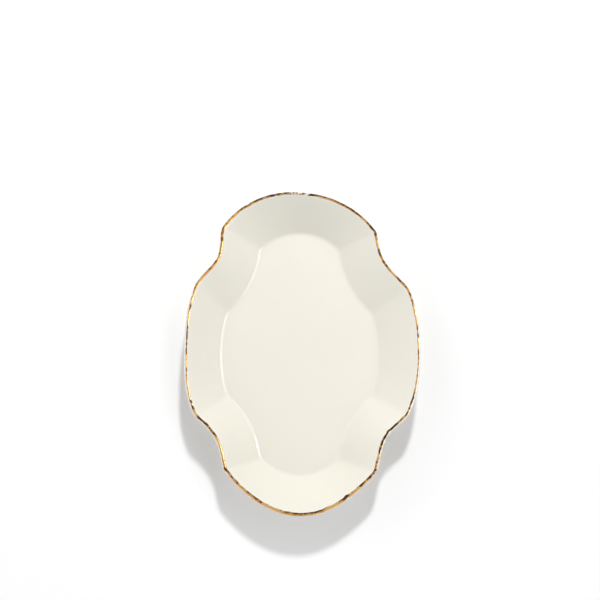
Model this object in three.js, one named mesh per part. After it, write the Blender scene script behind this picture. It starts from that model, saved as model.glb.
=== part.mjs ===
// A china serving platter: a deep tray with a flat well, eight sloping walls and a gilded rim.
//
// Seen from above, the outline is a long shape of eight arcs. A wide round lobe stands at each
// end, a shallow lobe on each long side, and between them the outline dips inwards in four hollow
// notches. The well has the same outline at a constant distance inside the rim, so each arc
// of the rim becomes one sloping wall and each corner becomes a straight crease down to the well.
//
// The platter is hand-finished: the well is regular, but the rim strays from its true line by a
// few millimetres, and the stray dies away down the wall. Nor does the well lie quite under the
// middle of the rim, because the rim is trimmed round it by eye.
//
// Millimetres. +Z is up, +Y runs along the platter, and the origin is on the table under the middle.

import * as THREE from 'three';

// ---------------------------------------------------------------- overall sizes
const LENGTH = 400;
const WIDTH = 292;
const HEIGHT = 45;

// ---------------------------------------------------------------- outline, measured at the rim
const END_LOBE_SPAN = 193;      // between the two corners of a lobe at an end
const END_LOBE_RISE = 53;       // how far that lobe bulges past its corners
const SIDE_LOBE_SPAN = 164;     // the same two sizes for a lobe on a long side
const SIDE_LOBE_RISE = 15.5;
const NOTCH_DEPTH = 10;         // how far a hollow arc dips behind the line between its corners
const CORNER_EASE = 5;          // a corner is rounded over this length on each of its arcs
const WELL_SHIFT = new THREE.Vector2(-3.8, -2);     // from the middle of the rim to that of the well

// ---------------------------------------------------------------- wall, lip and floor
const WALL_SLOPE = THREE.MathUtils.degToRad(38.5);
const WALL_THICKNESS = 5;
const FLOOR_THICKNESS = 5;
const WELL_FILLET = 8;          // inside, between the wall and the floor
const HEEL_FILLET = 12;         // outside, between the wall and the underside

// ---------------------------------------------------------------- foot ring and gilding
const FOOT_HEIGHT = 4.5;
const FOOT_WIDTH = 7;           // where it joins the underside
const FOOT_INSET = 9;           // from the lower edge of the wall to the ring
const FOOT_TAPER = 0.8;         // each side leans in by this much
const FOOT_BEVEL = 0.6;         // on both edges of the standing face
const GILT_THICKNESS = 0.25;
const GILT_GAP = 0.02;          // a hair of room under the gilding, so its surface never crosses the glaze

// ---------------------------------------------------------------- fineness of the surfaces
const ARC_STEPS = 12;           // along each arc of the outline
const FILLET_STEPS = 3;
const LIP_STEPS = 8;            // over the half-round lip
const GILT_LIP_STEPS = 3;       // of those, the steps that the gilding covers

// How far the hand-finished rim strays. Each line is one corner and the arc that follows it,
// anticlockwise from the front end of the right-hand lobe: the corner's shift in X and Y, then how
// much further out the middle of the arc stands (bow), how far its first half stands out and its
// second half in (lean), and how much its middle comes to a point between flatter shoulders (point).
const HAND_STRAY = [
  { shift: [-0.5, 5], bow: 0, lean: 0.5, point: -0.5 },     // right-hand lobe
  { shift: [0.5, 1], bow: 1.5, lean: 1, point: -0.5 },      // notch at the back right
  { shift: [-4.5, 2.5], bow: -5, lean: -1, point: -0.5 },   // back lobe
  { shift: [-5, 7.5], bow: 0.5, lean: -1, point: -1 },      // notch at the back left
  { shift: [-1, 8], bow: -1.5, lean: -0.5, point: -1 },     // left-hand lobe
  { shift: [-2.5, 5.5], bow: 1.5, lean: 0, point: -0.5 },   // notch at the front left
  { shift: [-2, 6.5], bow: 2, lean: 0.5, point: 2.5 },      // front lobe
  { shift: [-4, 4], bow: 1, lean: 0.5, point: -1 },         // notch at the front right
];

// ================================================================ outline

/** The circle of an arc that spans `chord` between two corners and stands `rise` above them. */
function arcRadius(chord, rise) {
  return (chord * chord / 4 + rise * rise) / (2 * rise);
}

/** The eight arcs of the true outline, anticlockwise from the right-hand lobe. */
function trueArcs() {
  const sideCorner = new THREE.Vector2(WIDTH / 2 - SIDE_LOBE_RISE, SIDE_LOBE_SPAN / 2);
  const endCorner = new THREE.Vector2(END_LOBE_SPAN / 2, LENGTH / 2 - END_LOBE_RISE);
  const sideRadius = arcRadius(SIDE_LOBE_SPAN, SIDE_LOBE_RISE);
  const endRadius = arcRadius(END_LOBE_SPAN, END_LOBE_RISE);
  const notchRadius = arcRadius(sideCorner.distanceTo(endCorner), NOTCH_DEPTH);

  const along = endCorner.clone().sub(sideCorner).normalize();
  const outward = new THREE.Vector2(along.y, -along.x);
  const notchCentre = sideCorner.clone().add(endCorner).multiplyScalar(0.5)
    .addScaledVector(outward, notchRadius - NOTCH_DEPTH);

  const mirrored = (point, x, y) => new THREE.Vector2(point.x * x, point.y * y);
  const sideCentre = new THREE.Vector2(WIDTH / 2 - sideRadius, 0);
  const endCentre = new THREE.Vector2(0, LENGTH / 2 - endRadius);
  const side = (x) => ({ centre: mirrored(sideCentre, x, 1), radius: sideRadius, bulge: 1 });
  const end = (y) => ({ centre: mirrored(endCentre, 1, y), radius: endRadius, bulge: 1 });
  const notch = (x, y) => ({ centre: mirrored(notchCentre, x, y), radius: notchRadius, bulge: -1 });

  const arcs = [side(1), notch(1, 1), end(1), notch(-1, 1), side(-1), notch(-1, -1), end(-1), notch(1, -1)];
  const starts = [
    mirrored(sideCorner, 1, -1),
    sideCorner,
    endCorner,
    mirrored(endCorner, -1, 1),
    mirrored(sideCorner, -1, 1),
    mirrored(sideCorner, -1, -1),
    mirrored(endCorner, -1, -1),
    mirrored(endCorner, 1, -1),
  ];
  arcs.forEach((arc, i) => { arc.start = starts[i]; });
  return arcs;
}

/** The crossing of two circles that lies nearer to a given point. */
function circleCrossing(centreA, radiusA, centreB, radiusB, near) {
  const gap = centreB.clone().sub(centreA);
  const distance = gap.length();
  const reach = (radiusA * radiusA - radiusB * radiusB + distance * distance) / (2 * distance);
  const half = Math.sqrt(radiusA * radiusA - reach * reach);
  gap.divideScalar(distance);
  const foot = centreA.clone().addScaledVector(gap, reach);
  const sideways = new THREE.Vector2(-gap.y, gap.x);
  const [left, right] = [half, -half].map((h) => foot.clone().addScaledVector(sideways, h));
  return left.distanceTo(near) < right.distanceTo(near) ? left : right;
}

const ARCS = trueArcs();

/**
 * The true outline moved inwards by `inset`. A lobe's circle shrinks and a notch's circle grows,
 * and each corner is where the two circles cross. Every outline has the same number of
 * points, so that point 7 of one lies across the wall from point 7 of another.
 */
function trueOutline(inset) {
  const radii = ARCS.map((arc) => arc.radius - arc.bulge * inset);
  const corners = ARCS.map((arc, i) => {
    const before = (i + ARCS.length - 1) % ARCS.length;
    return circleCrossing(ARCS[before].centre, radii[before], arc.centre, radii[i], arc.start);
  });

  const runs = ARCS.map((arc, i) => {
    const from = corners[i].clone().sub(arc.centre).angle();
    const to = corners[(i + 1) % corners.length].clone().sub(arc.centre).angle();
    const sweep = THREE.MathUtils.euclideanModulo(to - from + Math.PI, 2 * Math.PI) - Math.PI;
    const ease = CORNER_EASE / Math.abs(sweep * radii[i]);
    return Array.from({ length: ARC_STEPS + 1 }, (_, step) => {
      const share = ease + (1 - 2 * ease) * step / ARC_STEPS;
      const angle = from + sweep * share;
      const outward = new THREE.Vector2(Math.cos(angle), Math.sin(angle));
      const point = arc.centre.clone().addScaledVector(outward, radii[i]);
      return { point, outward: outward.multiplyScalar(arc.bulge), arc: i, share };
    });
  });

  return runs.flatMap((run, i) => {
    const before = runs[(i + runs.length - 1) % runs.length].at(-1);
    const after = run[0];
    const eased = corners[i].clone().multiplyScalar(2).add(before.point).add(after.point).divideScalar(4);
    const outward = before.outward.clone().add(after.outward).normalize();
    return [{ point: eased, outward, arc: i, share: 0 }, ...run];
  });
}

/** How far each point of the rim stands from its true place, once the hand has been over it. */
function rimStray() {
  const rim = trueOutline(0);
  const strayed = rim.map(({ point, outward, arc, share }) => {
    const here = HAND_STRAY[arc];
    const next = HAND_STRAY[(arc + 1) % HAND_STRAY.length];
    const shift = new THREE.Vector2(...here.shift).lerp(new THREE.Vector2(...next.shift), share);
    const wave = (halves) => Math.sin(Math.PI * halves * share);
    const outwards = here.bow * wave(1) + here.lean * wave(2) - here.point * wave(3);
    return point.clone().add(shift).addScaledVector(outward, outwards);
  });

  // The strayed rim is trued up so that it still measures LENGTH by WIDTH about the origin.
  const box = new THREE.Box2().setFromPoints(strayed);
  const middle = box.getCenter(new THREE.Vector2());
  const stretch = new THREE.Vector2(WIDTH, LENGTH).divide(box.getSize(new THREE.Vector2()));
  return strayed.map((point, i) => point.sub(middle).multiply(stretch).sub(rim[i].point));
}

// ================================================================ cross-section

// A section is drawn as points (inset from the rim, height above the table).
const sectionPoint = (inset, height) => new THREE.Vector2(inset, height);

/** Points on an arc of a section, from one angle to another, both ends included. */
function sectionArc(centre, radius, from, to, steps) {
  return Array.from({ length: steps + 1 }, (_, step) => {
    const angle = from + (to - from) * step / steps;
    return sectionPoint(centre.x + radius * Math.cos(angle), centre.y + radius * Math.sin(angle));
  });
}

const QUARTER = Math.PI / 2;
const FLOOR_TOP = FOOT_HEIGHT + FLOOR_THICKNESS;
const LIP_RADIUS = WALL_THICKNESS / 2;
const LIP_CENTRE = sectionPoint(LIP_RADIUS, HEIGHT - LIP_RADIUS);
const WALL_UP = new THREE.Vector2(Math.sin(WALL_SLOPE), Math.cos(WALL_SLOPE));

/** Where a face of the wall meets a level plane: `lift` is the face's distance above mid-wall. */
function wallMeets(lift, height) {
  const start = LIP_CENTRE.clone().addScaledVector(WALL_UP, lift);
  return start.x + (start.y - height) / Math.tan(WALL_SLOPE);
}

const WELL_EDGE = wallMeets(LIP_RADIUS, FLOOR_TOP);
const HEEL_EDGE = wallMeets(-LIP_RADIUS, FOOT_HEIGHT);

/** The half-round lip, from the inside of the wall over to the outside. */
function lipArc(radius) {
  const start = QUARTER - WALL_SLOPE;
  return sectionArc(LIP_CENTRE, radius, start, start + Math.PI, LIP_STEPS);
}

/** The fillet where a face of the wall turns level, listed from the wall to the level part. */
function turnLevel(edge, height, radius) {
  const centre = sectionPoint(edge + radius * Math.tan(WALL_SLOPE / 2), height + radius);
  return sectionArc(centre, radius, -QUARTER - WALL_SLOPE, -QUARTER, FILLET_STEPS);
}

// ================================================================ solids

const RIM_STRAY = rimStray();

/** The true outline at an inset. Down the wall, the rim's stray fades out and the well's shift fades in. */
function ringAt({ x: inset, y: height }) {
  const rimShare = THREE.MathUtils.clamp(1 - inset / WELL_EDGE, 0, 1);
  return trueOutline(inset).map(({ point }, i) => {
    const placed = point.addScaledVector(RIM_STRAY[i], rimShare).addScaledVector(WELL_SHIFT, 1 - rimShare);
    return new THREE.Vector3(placed.x, placed.y, height);
  });
}

/**
 * Sweeps a section round the outline. The section runs anticlockwise as seen looking along
 * the rim, so its faces point outwards. A section that isn't closed on itself ends in a level
 * disc at its first and last points, each disc a fan about the platter's middle.
 */
function sweepSection(section, closed) {
  const rings = section.map(ringAt);
  const around = rings[0].length;
  const vertices = rings.flat();
  const triangles = [];
  const at = (ring, station) => (ring % rings.length) * around + station % around;

  // Each four-sided patch is split from the same corner whichever way the section runs, so a
  // piece that lies on another follows its facets.
  for (let ring = 0; ring < rings.length - (closed ? 0 : 1); ring++) {
    const runsOutwards = section[ring].x > section[(ring + 1) % rings.length].x;
    for (let station = 0; station < around; station++) {
      const [a, b] = [at(ring, station), at(ring + 1, station)];
      const [c, d] = [at(ring + 1, station + 1), at(ring, station + 1)];
      triangles.push(...(runsOutwards ? [a, b, c, a, c, d] : [a, b, d, b, c, d]));
    }
  }
  if (!closed) {
    const top = vertices.push(new THREE.Vector3(0, 0, section[0].y)) - 1;
    const bottom = vertices.push(new THREE.Vector3(0, 0, section.at(-1).y)) - 1;
    for (let station = 0; station < around; station++) {
      triangles.push(top, at(0, station), at(0, station + 1));
      triangles.push(bottom, at(rings.length - 1, station + 1), at(rings.length - 1, station));
    }
  }

  const geometry = new THREE.BufferGeometry().setFromPoints(vertices);
  geometry.setIndex(triangles);
  geometry.computeVertexNormals();
  return geometry;
}

/** The dish: level floor, well fillet, wall, half-round lip, outer wall, heel fillet, underside. */
function dishBody() {
  const wellFillet = turnLevel(WELL_EDGE, FLOOR_TOP, WELL_FILLET).reverse();
  const heelFillet = turnLevel(HEEL_EDGE, FOOT_HEIGHT, HEEL_FILLET);
  return sweepSection([...wellFillet, ...lipArc(LIP_RADIUS), ...heelFillet], false);
}

/** The ring the platter stands on, joined to the flat underside just inside the heel. */
function footRing() {
  const outer = HEEL_EDGE + FOOT_INSET;
  const inner = outer + FOOT_WIDTH;
  return sweepSection([
    sectionPoint(inner, FOOT_HEIGHT),
    sectionPoint(outer, FOOT_HEIGHT),
    sectionPoint(outer + FOOT_TAPER, FOOT_BEVEL),
    sectionPoint(outer + FOOT_TAPER + FOOT_BEVEL, 0),
    sectionPoint(inner - FOOT_TAPER - FOOT_BEVEL, 0),
    sectionPoint(inner - FOOT_TAPER, FOOT_BEVEL),
  ], true);
}

/** The gilding: a thin band over the inner half of the lip, from the wall to just past the top. */
function giltRimBand() {
  const underRadius = LIP_RADIUS + GILT_GAP;
  const outside = lipArc(underRadius + GILT_THICKNESS).slice(0, GILT_LIP_STEPS + 1);
  const againstGlaze = lipArc(underRadius).slice(0, GILT_LIP_STEPS + 1).reverse();
  return sweepSection([...outside, ...againstGlaze], true);
}

// ================================================================ the platter

const glazedChina = new THREE.MeshStandardMaterial({ color: 0xf1ede2, roughness: 0.12, metalness: 0 });
const bareChina = new THREE.MeshStandardMaterial({ color: 0xe9e3d6, roughness: 0.75, metalness: 0 });
const burnishedGold = new THREE.MeshStandardMaterial({ color: 0xc9984f, roughness: 0.3, metalness: 1 });

function piece(name, geometry, material) {
  const mesh = new THREE.Mesh(geometry, material);
  mesh.name = name;
  return mesh;
}

const platter = new THREE.Group();
platter.add(piece('dish_body', dishBody(), glazedChina));
platter.add(piece('foot_ring', footRing(), bareChina));
platter.add(piece('gilt_rim_band', giltRimBand(), burnishedGold));

export default platter;
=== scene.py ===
# %% [markdown]
# # A china serving platter
#
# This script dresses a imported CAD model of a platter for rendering. The CAD gives every size, and
# three pieces are modelled again here with a finer surface: the glazed dish, the foot ring under
# it, and the gilded line on its lip. Then come the glaze, the bare clay and the gold, and last
# the table, the lights and the camera.

# %% Load the CAD frame
import math

import bmesh
import bpy
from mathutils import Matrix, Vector, noise


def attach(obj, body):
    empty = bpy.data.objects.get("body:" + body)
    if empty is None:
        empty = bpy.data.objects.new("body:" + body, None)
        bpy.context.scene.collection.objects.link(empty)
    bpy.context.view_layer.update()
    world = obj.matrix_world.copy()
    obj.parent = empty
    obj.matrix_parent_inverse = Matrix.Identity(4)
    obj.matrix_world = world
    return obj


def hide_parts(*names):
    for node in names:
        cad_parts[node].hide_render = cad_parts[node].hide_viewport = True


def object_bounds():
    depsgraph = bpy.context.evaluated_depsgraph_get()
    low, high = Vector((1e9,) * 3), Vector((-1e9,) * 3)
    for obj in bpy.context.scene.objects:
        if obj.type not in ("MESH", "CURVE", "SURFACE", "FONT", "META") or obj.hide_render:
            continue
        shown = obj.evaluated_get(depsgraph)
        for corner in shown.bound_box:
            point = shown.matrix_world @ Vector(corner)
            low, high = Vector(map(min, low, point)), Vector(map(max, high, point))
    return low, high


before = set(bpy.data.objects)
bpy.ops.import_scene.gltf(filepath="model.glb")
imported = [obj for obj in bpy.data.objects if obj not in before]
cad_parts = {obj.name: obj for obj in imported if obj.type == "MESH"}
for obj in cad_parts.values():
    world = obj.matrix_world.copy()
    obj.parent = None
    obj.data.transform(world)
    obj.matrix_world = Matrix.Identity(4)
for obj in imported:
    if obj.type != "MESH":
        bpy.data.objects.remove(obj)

MM = 0.001
cad_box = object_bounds()
print("CAD box in metres:", [tuple(round(value, 4) for value in corner) for corner in cad_box])

# %% [markdown]
# ## Reading the outline
#
# The CAD dish was swept round its outline, so its points lie in level rows, and each row has one
# point for each station of the outline. Sorting a row by direction from the middle puts the
# stations in order. The rim isn't quite over the well, so a station's direction differs from
# row to row, and every row is counted from a direction that parts the same two stations in all
# of them. Then point 7 of one row lies across the wall from point 7 of another.
#
# From the top down, the dish has nine rows on the half-round lip, four on the fillet where the
# wall turns into the well, and four on the heel underneath.

# %% Rows of points from a CAD node
COUNT_FROM = math.radians(-159)
LIP_ROWS = 9
FILLET_ROWS = 4


def around(point):
    """The direction of a point from the middle of the platter, as an angle."""
    return math.atan2(point.y, point.x)


def along_row(point):
    """How far round from the start of its row a point lies, as an angle."""
    return (around(point) - COUNT_FROM) % math.tau


def cad_rows(node):
    """The level rows of a CAD node, highest first and in order round the outline, without its middle."""
    levels = {}
    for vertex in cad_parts[node].data.vertices:
        if vertex.co.xy.length > 1 * MM:
            place = tuple(round(value, 5) for value in vertex.co)
            levels.setdefault(place[2], {})[place] = vertex.co.copy()
    return [sorted(levels[level].values(), key=along_row) for level in sorted(levels, reverse=True)]


dish_rows = cad_rows("dish_body")
lip_rows, well_rows = dish_rows[:LIP_ROWS], dish_rows[LIP_ROWS:LIP_ROWS + FILLET_ROWS]
STATIONS = len(lip_rows[0])
print(f"{len(dish_rows)} rows of {STATIONS} stations")

# %% [markdown]
# The wall is straight between the lip and the well, so its inside is known from two rows: the
# innermost row of the lip and the highest row of the well. The lip is half a circle, and its
# centre is midway between its first and last rows.

# %% Lines that the dish is built on
def blend_rows(row_a, row_b, share):
    """The row that lies a share of the way from one row to another."""
    return [a.lerp(b, share) for a, b in zip(row_a, row_b)]


wall_top = min(lip_rows, key=lambda row: row[0].xy.length)
lip_bottom = min(lip_rows, key=lambda row: row[0].z)
wall_foot = well_rows[0]
floor_edge = well_rows[-1]
lip_centre = blend_rows(wall_top, lip_bottom, 0.5)
lip_radius = (wall_top[0] - lip_centre[0]).length
wall_thickness = 2 * lip_radius
floor_top = floor_edge[0].z
print(f"wall {wall_thickness / MM:.1f} mm thick, well floor {floor_top / MM:.1f} mm above the table")

# %% [markdown]
# ## Building in rows
#
# A modeller would draw the platter's outline as a closed line and pull it down the wall, row by row.
# Two helpers do that. The first adds a circle with as many corners as there are stations and lays
# them on a row. The second extrudes the line that is selected and lays the new line on the next
# row. An extruded corner starts where its parent is, and that place says which station it is.

# %% Helpers that lay a line of corners on a row
def select_only(*objects):
    """Selects these objects and nothing else, and makes the first one active."""
    bpy.ops.object.select_all(action="DESELECT")
    for item in objects:
        item.select_set(True)
    bpy.context.view_layer.objects.active = objects[0]


def spot(point):
    """A point's place to a thousandth of a millimetre, to recognise it by."""
    return tuple(round(value / MM, 3) for value in point)


def begin_on(name, row):
    """Adds a closed line on a row, and leaves it selected in edit mode."""
    bpy.ops.object.select_all(action="DESELECT")
    bpy.ops.mesh.primitive_circle_add(vertices=len(row), radius=row[0].xy.length)
    piece = bpy.context.object
    piece.name = piece.data.name = name
    for vertex, point in zip(piece.data.vertices, row):
        vertex.co = point
    bpy.ops.object.mode_set(mode="EDIT")
    bpy.ops.mesh.select_all(action="SELECT")
    return piece


def extrude_to(row_before, row):
    """Extrudes the selected line, which lies on one row, and lays the new line on another."""
    station = {spot(point): i for i, point in enumerate(row_before)}
    bpy.ops.mesh.extrude_region_move()
    mesh = bmesh.from_edit_mesh(bpy.context.object.data)
    for vertex in mesh.verts:
        if vertex.select:
            vertex.co = row[station[spot(vertex.co)]]
    bmesh.update_edit_mesh(bpy.context.object.data)


def select_rows(*rows):
    """In edit mode, selects the edges that lie along these rows."""
    places = {spot(point) for row in rows for point in row}
    bpy.ops.mesh.select_mode(type="EDGE")
    bpy.ops.mesh.select_all(action="DESELECT")
    mesh = bmesh.from_edit_mesh(bpy.context.object.data)
    for edge in mesh.edges:
        if all(spot(vertex.co) in places for vertex in edge.verts):
            edge.select_set(True)
    bmesh.update_edit_mesh(bpy.context.object.data)


def apply_modifier(piece, kind, **settings):
    """Adds a modifier with these settings and applies it at once."""
    select_only(piece)
    bpy.ops.object.modifier_add(type=kind)
    modifier = piece.modifiers[-1]
    for name, value in settings.items():
        setattr(modifier, name, value)
    bpy.ops.object.modifier_apply(modifier=modifier.name)


# %% [markdown]
# ## The dish
#
# The real dish is one slab of clay pressed over a mould, so it is modelled the same way: first
# the upper skin alone, from a sharp rim down to a sharp edge round the well, then a bevel that
# turns the well's edge into a fillet, and then one even thickness of clay behind the skin.
# Solidify keeps the wall as thick as the floor, which sweeping two outlines wouldn't.

# %% Upper skin of the dish
WALL_ROWS = 6
FLOOR_SHRINK = (0.93, 0.72, 0.45)      # smaller copies of the well's outline, towards its middle
FLOOR_GRID_SPAN = STATIONS // 4


def hold_shape(row):
    """A row pushed out by a sixth of its bend, which is what subdivision will pull it in by."""
    return [point - (row[i - 1] + row[(i + 1) % len(row)] - 2 * point) / 6 for i, point in enumerate(row)]


sharp_rim = [top + (top - foot).normalized() * lip_radius for top, foot in zip(wall_top, wall_foot)]
sharp_rim = hold_shape(sharp_rim)
drop_to_floor = (wall_foot[0].z - floor_top) / (wall_top[0].z - wall_foot[0].z)
sharp_well = hold_shape([foot + (foot - top) * drop_to_floor for top, foot in zip(wall_top, wall_foot)])

dish = begin_on("glazed_dish", sharp_rim)
row = sharp_rim
for step in range(1, WALL_ROWS + 1):
    next_row = blend_rows(sharp_rim, sharp_well, step / WALL_ROWS)
    extrude_to(row, next_row)
    row = next_row
for size in FLOOR_SHRINK:
    next_row = [Vector((point.x * size, point.y * size, point.z)) for point in sharp_well]
    extrude_to(row, next_row)
    row = next_row
bpy.ops.mesh.fill_grid(span=FLOOR_GRID_SPAN)
print("upper skin:", len(bmesh.from_edit_mesh(dish.data).faces), "faces")

# %% Fillet round the well, then one thickness of clay
WELL_FILLET_SEGMENTS = 5
well_fillet_reach = (sharp_well[0] - wall_foot[0]).length

select_rows(sharp_well)
bpy.ops.mesh.bevel(offset=well_fillet_reach, segments=WELL_FILLET_SEGMENTS, affect="EDGES")
bpy.ops.mesh.select_all(action="SELECT")
bpy.ops.mesh.normals_make_consistent(inside=False)
bpy.ops.object.mode_set(mode="OBJECT")
middle_face = min(dish.data.polygons, key=lambda face: face.center.xy.length)
if middle_face.normal.z < 0:
    dish.data.flip_normals()
apply_modifier(dish, "SOLIDIFY", thickness=wall_thickness, offset=-1.0, use_even_offset=True,
               use_quality_normals=True)
print("slab:", len(dish.data.polygons), "faces, lowest point",
      round(min(v.co.z for v in dish.data.vertices) / MM, 2), "mm")

# %% [markdown]
# The slab's edge is still square. Both of its corners are rounded with the same bevel, nearly as
# wide as the lip's radius, so together they make the half-round lip. Subdivision then turns the
# facets of the outline into smooth curves. It pulls a corner inwards a little, as a coat of wet
# glaze does, so the eight corners need no rounding of their own.

# %% Half-round lip and smooth curves
LIP_BEVEL = lip_radius * 0.98          # a hair less than the radius, so that the two bevels don't meet
LIP_SEGMENTS = 4
SMOOTH_LEVELS = 2

select_only(dish)
bpy.ops.object.mode_set(mode="EDIT")
bpy.ops.mesh.select_mode(type="FACE")
bpy.ops.mesh.select_all(action="DESELECT")
mesh = bmesh.from_edit_mesh(dish.data)
rim_spots = {spot(point) for point in sharp_rim}
for face in mesh.faces:
    on_rim = sum(spot(vertex.co) in rim_spots for vertex in face.verts)
    faces_out = face.normal.xy.dot(face.calc_center_median().xy) > 0
    face.select_set(on_rim == 2 and faces_out)
bmesh.update_edit_mesh(dish.data)
print("square edge of the slab:", sum(face.select for face in mesh.faces), "faces")
bpy.ops.mesh.region_to_loop()
bpy.ops.mesh.bevel(offset=LIP_BEVEL, segments=LIP_SEGMENTS, affect="EDGES")
bpy.ops.object.mode_set(mode="OBJECT")
apply_modifier(dish, "SUBSURF", levels=SMOOTH_LEVELS, render_levels=SMOOTH_LEVELS)
select_only(dish)
bpy.ops.object.shade_smooth()
print("dish:", len(dish.data.polygons), "faces, highest point",
      round(max(v.co.z for v in dish.data.vertices) / MM, 2), "mm")

# %% [markdown]
# A mould is regular and a hand isn't. A pressed wall comes off slightly wavy, and the trimmed
# rim wanders, most of all at its edge. Smooth noise moves the points above the floor by a few
# tenths of a millimetre at most: enough to bend a reflection, too little to see as a dent.

# %% Marks of the hand
WAVE_LENGTH = 0.055
WAVE_HEIGHT = 0.22 * MM
WANDER_LENGTH = 0.028
WANDER_WIDTH = 0.45 * MM
WANDER_PATCH = Vector((7, 3, 1))       # another part of the noise, so that waves and wander don't agree
WAVES_RISE = 6                         # the waves are at full height a sixth of the way up the wall


def hand_marks(point):
    """How far the maker's hand leaves a point of the dish from its true place."""
    height = noise.noise(point / WAVE_LENGTH) * WAVE_HEIGHT
    climb = min(max((point.z - floor_top) / (cad_box[1].z - floor_top), 0.0), 1.0)
    wander = noise.noise(point / WANDER_LENGTH + WANDER_PATCH) * WANDER_WIDTH * climb ** 2
    outwards = Vector((point.x, point.y, 0)).normalized()
    return outwards * wander + Vector((0, 0, height * min(climb * WAVES_RISE, 1.0)))


for vertex in dish.data.vertices:
    vertex.co += hand_marks(vertex.co)
dish.data.update()
print("dish after the hand: highest point", round(max(v.co.z for v in dish.data.vertices) / MM, 2), "mm")

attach(dish, "root")
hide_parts("dish_body")

# %% [markdown]
# ## The foot ring
#
# A coil of the same clay is joined under the dish and trimmed flat, so that the platter stands on a
# narrow ring and its glazed underside stays clear of the kiln shelf. Its section is right in the
# CAD, where only the facets of the outline are too coarse. So a copy is merged, turned
# back to four-sided faces, and smoothed, with a small bevel to keep its edges crisp.

# %% Foot ring
FOOT_EDGE_BEVEL = 0.35 * MM
FOOT_BEVEL_SEGMENTS = 2
SHARP_ANGLE = math.radians(25)

select_only(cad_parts["foot_ring"])
bpy.ops.object.duplicate()
foot = bpy.context.object
foot.name = foot.data.name = "trimmed_foot_ring"
foot.hide_render = False
bpy.ops.object.mode_set(mode="EDIT")
bpy.ops.mesh.select_all(action="SELECT")
bpy.ops.mesh.remove_doubles(threshold=0.01 * MM)
bpy.ops.mesh.tris_convert_to_quads(face_threshold=math.pi, shape_threshold=math.pi)
bpy.ops.mesh.select_all(action="DESELECT")
bpy.ops.mesh.select_mode(type="EDGE")
bpy.ops.mesh.edges_select_sharp(sharpness=SHARP_ANGLE)
bpy.ops.mesh.bevel(offset=FOOT_EDGE_BEVEL, segments=FOOT_BEVEL_SEGMENTS, affect="EDGES")
bpy.ops.object.mode_set(mode="OBJECT")
apply_modifier(foot, "SUBSURF", levels=SMOOTH_LEVELS, render_levels=SMOOTH_LEVELS)
select_only(foot)
bpy.ops.object.shade_smooth()
print("foot ring:", len(foot.data.polygons), "faces")

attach(foot, "root")
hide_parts("foot_ring")

# %% [markdown]
# ## The gilded line
#
# Gilding is painted on the fired glaze with a soft brush while the platter turns on a wheel, and
# fired again. The line is a film that follows the lip, wider where the brush was full and
# narrower along the sides where it ran on. It could be painted on the dish as a colour, but
# then it would have no edge of its own to catch the light. So it is modelled as a low bead: rows
# of points that lie side by side over the lip, buried in the glaze at both edges so that no
# gap shows.
#
# The line needs finer steps than the outline's stations. They lie on a cubic curve worked out from
# the outline's own corners, as subdivision does it, so that bead and lip follow nearly one path.

# %% A row in finer steps
FINE_STEPS = 8


def finer(row):
    """A row with FINE_STEPS points for each station, on the curve that subdivision would give."""
    held = hold_shape(row)
    points = []
    for i in range(len(held)):
        a, b, c, d = (held[(i + k) % len(held)] for k in (-1, 0, 1, 2))
        for step in range(FINE_STEPS):
            t = step / FINE_STEPS
            before, after = (1 - t) ** 3, t ** 3
            here, there = 3 * t ** 3 - 6 * t ** 2 + 4, -3 * t ** 3 + 3 * t ** 2 + 3 * t + 1
            points.append((a * before + b * here + c * there + d * after) / 6)
    return points


lip_edge = finer(wall_top)
down_wall = [(foot - top).normalized() for top, foot in zip(lip_edge, finer(wall_foot))]
off_wall = []
for i, down in enumerate(down_wall):
    along = lip_edge[(i + 1) % len(lip_edge)] - lip_edge[i - 1]
    off_wall.append(along.cross(down).normalized())
print(f"gilded line: {len(lip_edge)} steps round the rim")

# %% [markdown]
# The gold's place is measured over the lip, from the line where the wall ends: minus runs down
# the wall, plus goes up over the lip. The painter's brush decides where the line starts
# and how wide it is. Both are given for the eight stretches of the rim, and blend from each to the
# next. Noise adds the unsteady edges, and in a few places the brush was set down or lifted
# and left a drop that ran a little way down the wall.

# %% Where the brush touched
# Direction of each stretch's middle in degrees, anticlockwise from the right; start and width in
# millimetres; and how brown the gold came out there, which is added to its mask of brown.
BRUSH_STRETCHES = [
    (0, 0.3, 1.8, 0.1),         # right-hand lobe
    (41, 0.3, 3.1, -0.1),       # notch at the back right
    (90, 0.6, 3.5, 0.15),       # back lobe
    (139, -0.6, 3.8, -0.1),     # notch at the back left
    (180, 0.2, 1.8, 0.3),       # left-hand lobe
    (221, -0.7, 3.4, 0.05),     # notch at the front left
    (270, -0.7, 5.1, -0.2),     # front lobe
    (319, -0.8, 3.1, 0.4),      # notch at the front right
]
BRUSH_DROPS = [(110, 1.0), (122, 0.7), (152, 0.8), (216, 0.7), (238, 0.9), (265, 0.6),
               (279, 0.9), (287, 1.7), (304, 0.8), (318, 1.2)]      # direction; length down the wall
DROP_SPREAD = 0.9                      # degrees
EDGE_WOBBLE = 0.5 * MM
EDGE_WOBBLE_LENGTH = 0.005
WOBBLE_APART = 9                       # how far apart the two edges read the noise


def compass(point):
    """The direction of a point from the middle, in degrees from 0 to 360."""
    return math.degrees(around(point)) % 360


def brush_stretch(direction):
    """The line's start, width and brownness at a direction, blended from stretch to stretch."""
    ends = BRUSH_STRETCHES + [(360, *BRUSH_STRETCHES[0][1:])]
    for (angle, *here), (next_angle, *there) in zip(ends, ends[1:]):
        if angle <= direction < next_angle:
            share = (direction - angle) / (next_angle - angle)
            share = (3 - 2 * share) * share ** 2
            return [a + (b - a) * share for a, b in zip(here, there)]


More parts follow.
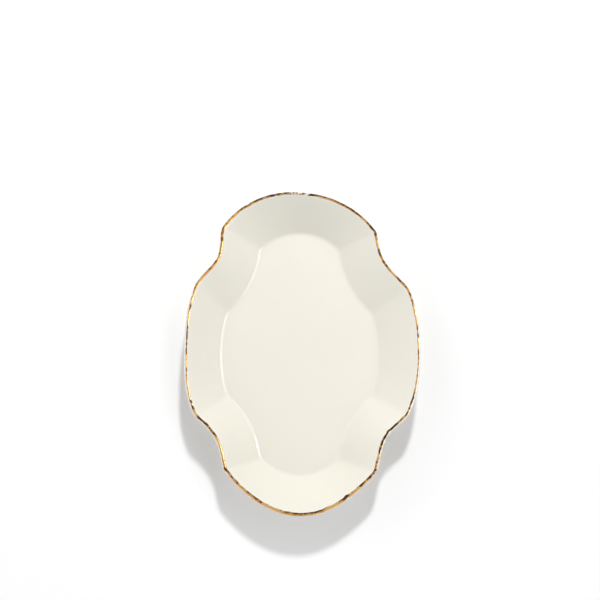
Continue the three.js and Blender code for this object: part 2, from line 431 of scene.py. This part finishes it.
def brush_edges(point):
    """Where the gold starts and ends at a point of the rim, as distances over the lip."""
    direction = compass(point)
    start, width, _ = brush_stretch(direction)
    for drop, length in BRUSH_DROPS:
        start -= length * math.exp(-((direction - drop) / DROP_SPREAD) ** 2)
    wobble = [noise.noise(point / EDGE_WOBBLE_LENGTH + Vector((0, 0, side * WOBBLE_APART))) * EDGE_WOBBLE
              for side in range(2)]
    return start * MM + wobble[0], (start + width) * MM + wobble[1]


edges = [brush_edges(point) for point in lip_edge]
widths = [end - start for start, end in edges]
print(f"gold between {min(widths) / MM:.1f} and {max(widths) / MM:.1f} mm wide")

# %% Gilded line
FILM = 0.15 * MM                       # the bead's height; it is nearly flat and falls off at its edges
BURIED = 0.25 * MM
BEAD_ROWS = 8


def bead_row(share, height):
    """A row along the lip, at a share of the way across the gold and this high above the glaze."""
    row = []
    for edge, down, off, (start, end) in zip(lip_edge, down_wall, off_wall, edges):
        over = start + (end - start) * share
        turn = max(over, 0) / lip_radius
        outwards = off * math.cos(turn) - down * math.sin(turn)
        point = edge - off * lip_radius + outwards * (lip_radius + height) + down * max(-over, 0)
        row.append(point + hand_marks(point))
    return row


across = {}
rows = [bead_row(0, -BURIED)]
for step in range(BEAD_ROWS + 1):
    share = step / BEAD_ROWS
    row = bead_row(share, FILM * (1 - (2 * share - 1) ** 4))
    across.update((spot(point), share) for point in row)
    rows.append(row)
rows.append(bead_row(1, -BURIED))

gilt = begin_on("gilded_line", rows[0])
for before, after in zip(rows, rows[1:]):
    extrude_to(before, after)
extrude_to(rows[-1], rows[0])
bpy.ops.mesh.select_all(action="SELECT")
bpy.ops.mesh.remove_doubles(threshold=0.001 * MM)
bpy.ops.mesh.normals_make_consistent(inside=False)
bpy.ops.object.mode_set(mode="OBJECT")
select_only(gilt)
bpy.ops.object.shade_smooth()
across_values = gilt.data.attributes.new("across_line", "FLOAT", "POINT").data
brown_values = gilt.data.attributes.new("brownness", "FLOAT", "POINT").data
for i, vertex in enumerate(gilt.data.vertices):
    across_values[i].value = across.get(spot(vertex.co), 0.0)
    brown_values[i].value = brush_stretch(compass(vertex.co))[2]
print("gilded line:", len(gilt.data.polygons), "faces")

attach(gilt, "root")
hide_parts("gilt_rim_band")

# %% [markdown]
# ## Writing materials as sums
#
# A material is a net of nodes, and sums in it are tedious to read as nodes. This class wraps one
# socket, so that `1 - mask` or `grain * 0.5 + drift` adds the Math nodes by itself. Every other
# node comes from its one method `node`, which takes the node's type, its settings, and the
# values or signals for its sockets.

# %% Signals in a material
class Signal:
    """A value, colour or vector on its way through a material."""

    def __init__(self, tree, socket):
        self.tree = tree
        self.socket = socket

    def node(self, kind, settings=None, sockets=None, output=0):
        """Adds a node. In `sockets`, a Signal is linked and anything else is set."""
        added = self.tree.nodes.new(kind)
        for name, value in (settings or {}).items():
            setattr(added, name, value)
        for name, value in (sockets or {}).items():
            if isinstance(value, Signal):
                self.tree.links.new(value.socket, added.inputs[name])
            else:
                added.inputs[name].default_value = value
        return Signal(self.tree, added.outputs[output])

    def maths(self, operation, first, second):
        """Adds a Math node on two numbers or signals."""
        return self.node("ShaderNodeMath", {"operation": operation}, {0: first, 1: second})

    def __add__(self, other):
        return self.maths("ADD", self, other)

    def __sub__(self, other):
        return self.maths("SUBTRACT", self, other)

    def __rsub__(self, other):
        return self.maths("SUBTRACT", other, self)

    def __mul__(self, other):
        return self.maths("MULTIPLY", self, other)

    __radd__ = __add__
    __rmul__ = __mul__

    def unsigned(self):
        """The signal without its sign."""
        return self.node("ShaderNodeMath", {"operation": "ABSOLUTE"}, {0: self})

    def fade(self, start, end):
        """0 below start and 1 above end (or the other way round), with a smooth step between."""
        return self.node("ShaderNodeMapRange", {"interpolation_type": "SMOOTHSTEP"},
                         {"Value": self, "From Min": start, "From Max": end})

    def noise(self, size, detail=2.0, roughness=0.5):
        """Noise whose patches are about `size` metres across, read at this vector signal."""
        return self.node("ShaderNodeTexNoise", {}, {"Vector": self, "Scale": 1 / size, "Detail": detail,
                                                    "Roughness": roughness})

    def distance(self, place):
        """How far this vector signal is from a place."""
        return self.node("ShaderNodeVectorMath", {"operation": "DISTANCE"}, {0: self, 1: place}, output=1)

    def blend(self, colour_a, colour_b):
        """Colour A where this mask is 0, colour B where it is 1."""
        return self.node("ShaderNodeMix", {"data_type": "RGBA"},
                         {0: self, MIX_A: colour_a, MIX_B: colour_b}, output=2)


MIX_A, MIX_B = 6, 7      # the two colour sockets of a Mix node


def start_material(name, **shader_values):
    """A new material, its shader with these plain values, and the signal of the object's own places."""
    material = bpy.data.materials.new(name)
    material.use_nodes = True
    tree = material.node_tree
    shader = tree.nodes["Principled BSDF"]
    for socket, value in shader_values.items():
        shader.inputs[socket.replace("_", " ")].default_value = value
    places = tree.nodes.new("ShaderNodeTexCoord").outputs["Object"]
    return material, shader, Signal(tree, places)


def finish_shader(signal, shader, **signals):
    """Links signals to the shader's sockets."""
    for socket, value in signals.items():
        signal.tree.links.new(value.socket, shader.inputs[socket.replace("_", " ")])


def bump(height, distance, strength, normal=None):
    """The normal of a surface that rises by `distance` where the height signal is 1."""
    sockets = {"Height": height, "Distance": distance, "Strength": strength}
    if normal:
        sockets["Normal"] = normal
    return height.node("ShaderNodeBump", {}, sockets)


# %% [markdown]
# ## Glaze
#
# The glaze is clear and glossy over an ivory body. It is never quite one colour: it drifts in
# clouds between two ivories, as the glaze lay thicker or thinner before firing, and it is cooler
# and paler where it ran thin over the lip. Its surface has the faint ripple of fired glass and a
# very fine orange peel. A clear coat over the body gives the sharp reflections.

# %% Glazed china
IVORY = (0.874, 0.853, 0.757, 1)
WARM_IVORY = (0.892, 0.861, 0.765, 1)
THIN_GLAZE = (0.880, 0.868, 0.805, 1)
THIN_FROM, THIN_TO = 4 * MM, 1 * MM    # how far below the highest point the glaze starts to thin, and is thin
CLOUD_SIZE = 90 * MM
FRECKLE_SIZE = 12 * MM
RIPPLE_SIZE, RIPPLE_HEIGHT = 20 * MM, 0.1 * MM
PEEL_SIZE, PEEL_HEIGHT = 1.6 * MM, 0.02 * MM


def glazed_china():
    """Clear glaze over ivory clay."""
    material, shader, place = start_material(
        "glazed_china", IOR=1.5, Specular_IOR_Level=0.25, Coat_Weight=0.6, Coat_Roughness=0.04)
    height = place.node("ShaderNodeSeparateXYZ", {}, {"Vector": place}, output=2)
    cloud = place.noise(CLOUD_SIZE, detail=3)
    freckle = place.noise(FRECKLE_SIZE, detail=2)
    drift = (cloud * 0.75 + freckle * 0.25).fade(0.35, 0.65)
    lip = height.fade(cad_box[1].z - THIN_FROM, cad_box[1].z - THIN_TO)
    colour = lip.blend(drift.blend(IVORY, WARM_IVORY), THIN_GLAZE)
    ripple = place.noise(RIPPLE_SIZE, detail=1)
    peel = place.noise(PEEL_SIZE, detail=2)
    normal = bump(peel, PEEL_HEIGHT, 0.25, bump(ripple, RIPPLE_HEIGHT, 0.35))
    finish_shader(place, shader, Base_Color=colour, Roughness=cloud * 0.08 + 0.18, Normal=normal)
    return material


def give(piece, material):
    """Gives a piece one material."""
    piece.data.materials.clear()
    piece.data.materials.append(material)


give(dish, glazed_china())
print("dish is glazed")

# %% [markdown]
# ## Bare clay
#
# Glaze is wiped off the standing face, because it would stick to the kiln shelf. The bare
# clay is matt, darker and browner, with a fine grain, and the glaze stops above it in an
# uneven line.

# %% Bare foot
BARE_CLAY = (0.70, 0.63, 0.53, 1)
STAINED_CLAY = (0.62, 0.54, 0.44, 1)
CLAY_ROUGHNESS = 0.8
GLAZE_ROUGHNESS = 0.22
WIPED_HEIGHT = 1.1 * MM                # up to here the glaze was wiped off, less the waves of its edge
GLAZE_EDGE = 0.35 * MM
EDGE_WAVES = 0.9 * MM
EDGE_WAVE_LENGTH = 8 * MM
STAIN_SIZE = 30 * MM
GRAIN_SIZE, GRAIN_HEIGHT = 0.9 * MM, 0.06 * MM


def foot_clay():
    """Bare clay on the standing face, and glaze above it."""
    material, shader, place = start_material("bare_china", IOR=1.5)
    height = place.node("ShaderNodeSeparateXYZ", {}, {"Vector": place}, output=2)
    ragged = place.noise(EDGE_WAVE_LENGTH, detail=3) * EDGE_WAVES + height
    glazed = ragged.fade(WIPED_HEIGHT, WIPED_HEIGHT + GLAZE_EDGE)
    grain = place.noise(GRAIN_SIZE, detail=3, roughness=0.7)
    stain = place.noise(STAIN_SIZE, detail=2).fade(0.3, 0.8)
    colour = glazed.blend(stain.blend(BARE_CLAY, STAINED_CLAY), IVORY)
    roughness = CLAY_ROUGHNESS - glazed * (CLAY_ROUGHNESS - GLAZE_ROUGHNESS)
    normal = bump(grain * (1 - glazed), GRAIN_HEIGHT, 0.6)
    finish_shader(place, shader, Base_Color=colour, Roughness=roughness, Normal=normal)
    return material


give(foot, foot_clay())
print("foot is bare clay")

# %% [markdown]
# ## Gold
#
# Burnished gold is a mirror with fine scratches, laid over a white body. It came out of the kiln
# brown, and the burnisher's stone made it bright. The stone missed some of it: small dabs
# everywhere, longer strokes here and there, and the two brims of the line. The slopes that face
# the far end are painted brown as well: painted shade, for the dark that they mirror. So the dabs,
# the strokes, the painted shade of the slope and the brownness of the stretch are added up and
# faded into one mask of brown and painted shade, and the brims get a mask of their own. At the
# middle of the far end the gold is worn through to the glaze in a few spots, set where the key
# lamp's glint falls: partly wear, partly a painted highlight.

# %% Burnished gold
BRIGHT_GOLD = (1.0, 0.62, 0.23, 1)
DEEP_GOLD = (0.88, 0.43, 0.11, 1)
BROWN_GOLD = (0.13, 0.05, 0.015, 1)
# The slope's share is painted shade: slopes facing the far end come out brown, for the dark they mirror.
SHADED_SLOPE_SHARE, DAB_SHARE, STROKE_SHARE = 0.75, 3.4, 2.4    # how much each adds to the brown
BROWN_RANGE = (3.02, 3.20)             # the sum at which brown begins, and that at which it is full
BRIM_DAB_SHARE = 0.4
BRIM_RANGE = (0.62, 0.72)              # the same for the brims, whose sum grows away from the line's middle
DAB_SIZE, DAB_HEIGHT = 4 * MM, 0.08 * MM
STROKE_SIZE = 20 * MM
SCRATCH_SIZE, SCRATCH_HEIGHT = 0.5 * MM, 0.02 * MM
# The wear near this place is set where the key lamp's glint falls, so it is partly a painted highlight.
GLINT_WEAR_PLACE = (-0.004, 0.199, 0.045)    # at the middle of the far end
GLINT_WEAR_REACH = (18 * MM, 8 * MM)         # how far from there the wear begins, and is full
WORN_SPOT_SIZE = 3 * MM
GLINT_WEAR_SHARE = 0.2                       # what being near that place adds to the spots
GLINT_WEAR_RANGE = (0.70, 0.74)
GOLD_METALLIC = 0.65                   # less than 1, so that it isn't black where it mirrors the dark


def burnished_gold():
    """Burnished gold with brown patches and painted shade on the slopes facing the far end, worn through in a
    few spots that also stand for a painted glint.
    """
    material, shader, place = start_material("burnished_gold", IOR=1.5)
    facing = Signal(place.tree, place.socket.node.outputs["Normal"])
    facing_back = facing.node("ShaderNodeSeparateXYZ", {}, {"Vector": facing}, output=1)
    dabs = place.noise(DAB_SIZE, detail=3, roughness=0.6)
    strokes = place.noise(STROKE_SIZE, detail=2)
    across = place.node("ShaderNodeAttribute", {"attribute_name": "across_line"}, output=2)
    from_centre = (across - 0.5).unsigned()
    brownness = place.node("ShaderNodeAttribute", {"attribute_name": "brownness"}, output=2)
    # The slope term is painted shade; the dabs, strokes and stretch are the gold's own brown.
    brown_and_shade_sum = facing_back * SHADED_SLOPE_SHARE + brownness + dabs * DAB_SHARE + strokes * STROKE_SHARE
    brown = brown_and_shade_sum.fade(*BROWN_RANGE)
    brim = (from_centre + dabs * BRIM_DAB_SHARE).fade(*BRIM_RANGE)
    gold = strokes.fade(0.4, 0.6).blend(BRIGHT_GOLD, DEEP_GOLD)
    gold = brim.blend(brown.blend(gold, BROWN_GOLD), BROWN_GOLD)
    # Glaze showing through near the far end's middle: partly wear, partly a painted highlight for the key
    # lamp's glint.
    near_glint_wear = place.distance(GLINT_WEAR_PLACE).fade(*GLINT_WEAR_REACH)
    worn_spots = place.noise(WORN_SPOT_SIZE, detail=3, roughness=0.7)
    worn = (worn_spots + near_glint_wear * GLINT_WEAR_SHARE).fade(*GLINT_WEAR_RANGE)
    scratches = place.noise(SCRATCH_SIZE, detail=2)
    normal = bump(scratches, SCRATCH_HEIGHT, 0.4, bump(dabs, DAB_HEIGHT, 0.5))
    finish_shader(place, shader, Base_Color=worn.blend(gold, THIN_GLAZE), Metallic=(1 - worn) * GOLD_METALLIC,
                  Roughness=strokes * 0.2 + 0.12, Normal=normal)
    return material


give(gilt, burnished_gold())
print("rim is gilded")

# %% [markdown]
# ## Table, light and camera
#
# The platter lies on a white sweep, in the bright middle of a studio. The paper has to come out
# pure white away from the platter and still carry a grey shadow. So it glows a little by itself:
# in full from a little beyond the shadow outwards, fading to nothing under the near half of the
# platter. That way the shadow is lightened less than the open paper.

# %% Table
PAPER_WHITE = (0.97, 0.97, 0.975, 1)
PAPER_GLOW = 0.075
GLOW_MIDDLE = (0.02, -0.05, 0)         # a little to the front right of the platter's middle
GLOW_RADII = (0.15, 0.26)              # from there, how far out the glow begins, and is full
SWEEP_WIDTH = 16.0

bpy.ops.object.select_all(action="DESELECT")
bpy.ops.mesh.primitive_plane_add(size=SWEEP_WIDTH)
table = bpy.context.object
table.name = table.data.name = "white_sweep"
paper, paper_shader, paper_place = start_material(
    "white_paper", Roughness=0.9, Base_Color=PAPER_WHITE, Emission_Strength=1.0, Specular_IOR_Level=0.0)
glow = paper_place.distance(GLOW_MIDDLE).fade(*GLOW_RADII) * PAPER_GLOW
finish_shader(paper_place, paper_shader, Emission_Color=glow)
give(table, paper)
print(f"white sweep {SWEEP_WIDTH:.0f} m wide")

# %% [markdown]
# The camera looks straight down, so the outline shows undistorted. Its lens is worked out from
# its height above the rim and the width it has to take in there.

# %% Camera
SENSOR_WIDTH = 36                      # millimetres
CAMERA_HEIGHT = 1.7
CAMERA_OVER = (-0.0033, 0.0667)        # the platter lies a little in front of the middle of the view
VIEW_WIDTH_AT_RIM = 0.7382

camera_data = bpy.data.cameras.new("overhead_camera")
camera_data.sensor_width = SENSOR_WIDTH
camera_data.lens = SENSOR_WIDTH * (CAMERA_HEIGHT - cad_box[1].z) / VIEW_WIDTH_AT_RIM
camera = bpy.data.objects.new("overhead_camera", camera_data)
camera.location = (*CAMERA_OVER, CAMERA_HEIGHT)
bpy.context.scene.collection.objects.link(camera)
bpy.context.scene.camera = camera
print(f"camera {CAMERA_HEIGHT} m above the table, with a lens of {camera_data.lens:.0f} mm")

# %% [markdown]
# The key lamp stands beyond the far end and a little to the right, about 40 degrees up, so the
# rim's shadow falls on the near side. It is a spot lamp with a feathered edge, aimed far in front
# of the platter. The far end gains light by lying nearer to the lamp, and loses a part of it again
# by lying further out in the feathered edge, so the light falls off gently towards the near end.
# The lamp's size gives the shadow its soft border.
#
# A glossy glaze would show the key lamp as a white blot, so the key isn't seen in reflections. Two
# lamps are seen in nothing else: a weak disc in the key's place, for the glints in the gold,
# and a long strip on the right, which draws the fine white lines along the well.

# %% Lamps
KEY_FROM = Vector((0.09, 0.755, 0.656))
KEY_DISTANCE = 2.5
KEY_SIZE = 0.24
KEY_POWER = 200.0
KEY_AIM = Vector((-0.98, -8.1, 0))
KEY_CONE = math.radians(120)
GLINT_POWER = 0.8
STRIP_AZIMUTH = math.radians(-12)
STRIP_HEIGHT = math.radians(39)
STRIP_DISTANCE = 1.45
STRIP_SIZE = (1.0, 0.08)
STRIP_POWER = 13.0


def add_lamp(name, kind, energy, place, aim, **settings):
    """Adds a lamp at a place, turned towards another."""
    data = bpy.data.lights.new(name, kind)
    data.energy = energy
    for setting, value in settings.items():
        setattr(data, setting, value)
    lamp = bpy.data.objects.new(name, data)
    lamp.location = place
    lamp.rotation_euler = (place - aim).to_track_quat("Z", "Y").to_euler()
    bpy.context.scene.collection.objects.link(lamp)
    return lamp


platter_middle = Vector((0, 0, floor_top))
key_place = KEY_FROM * KEY_DISTANCE
key = add_lamp("key_reflector", "SPOT", KEY_POWER, key_place, KEY_AIM, shadow_soft_size=KEY_SIZE / 2,
               spot_size=KEY_CONE, spot_blend=1.0)
key.visible_glossy = False
glint = add_lamp("key_glint", "AREA", GLINT_POWER, key_place, platter_middle, shape="DISK", size=KEY_SIZE)
strip_reach = STRIP_DISTANCE * math.cos(STRIP_HEIGHT)
strip_place = Vector((strip_reach * math.cos(STRIP_AZIMUTH), strip_reach * math.sin(STRIP_AZIMUTH),
                      STRIP_DISTANCE * math.sin(STRIP_HEIGHT)))
strip = add_lamp("right_strip", "AREA", STRIP_POWER, strip_place, platter_middle,
                 shape="RECTANGLE", size=STRIP_SIZE[0], size_y=STRIP_SIZE[1])
for lamp in (glint, strip):
    lamp.visible_diffuse = False
print("lamps:", key.name, glint.name, strip.name)

# %% [markdown]
# The rest of the light comes from the surroundings. Low down, it is soft and comes from the front
# and the left. Two large soft boxes hang higher, one on each side, and a small one overhead.
# Everything else is dark, so that the gold has something dark to mirror.

# %% Soft surroundings
FRONT_LIGHT = 0.75
LEFT_LIGHT = 0.46
RIGHT_BOX = 1.34
LEFT_BOX = 0.87
CEILING = 0.2

# Where each part fades in, by how far up a direction of length 1 points, or how far to one side.
LOW_SKY = (0.75, 0.35)
LOW_SIDE = (0.2, -0.7)
BOX_BOTTOM, BOX_TOP = (0.4, 0.6), (0.95, 0.8)
BOX_SIDE = 0.5
OVERHEAD = (0.85, 0.96)

world = bpy.data.worlds.new("soft_surroundings")
world.use_nodes = True
bpy.context.scene.world = world
sky_tree = world.node_tree
background = sky_tree.nodes["Background"]
background.inputs["Color"].default_value = (1, 1, 1, 1)
direction = Signal(sky_tree, sky_tree.nodes.new("ShaderNodeTexCoord").outputs["Generated"])
to_right, to_back, upwards = (direction.node("ShaderNodeSeparateXYZ", {}, {"Vector": direction}, output=axis)
                              for axis in range(3))
low = upwards.fade(*LOW_SKY)
high = upwards.fade(*BOX_BOTTOM) * upwards.fade(*BOX_TOP)
low_light = to_back.fade(*LOW_SIDE) * FRONT_LIGHT + to_right.fade(*LOW_SIDE) * LEFT_LIGHT
boxes = to_right.fade(0, BOX_SIDE) * RIGHT_BOX + to_right.fade(0, -BOX_SIDE) * LEFT_BOX
brightness = low * low_light + high * boxes + upwards.fade(*OVERHEAD) * CEILING
sky_tree.links.new(brightness.socket, background.inputs["Strength"])
bpy.context.scene.view_settings.view_transform = "Standard"
print("surroundings: low light in front and on the left, two boxes, one overhead")
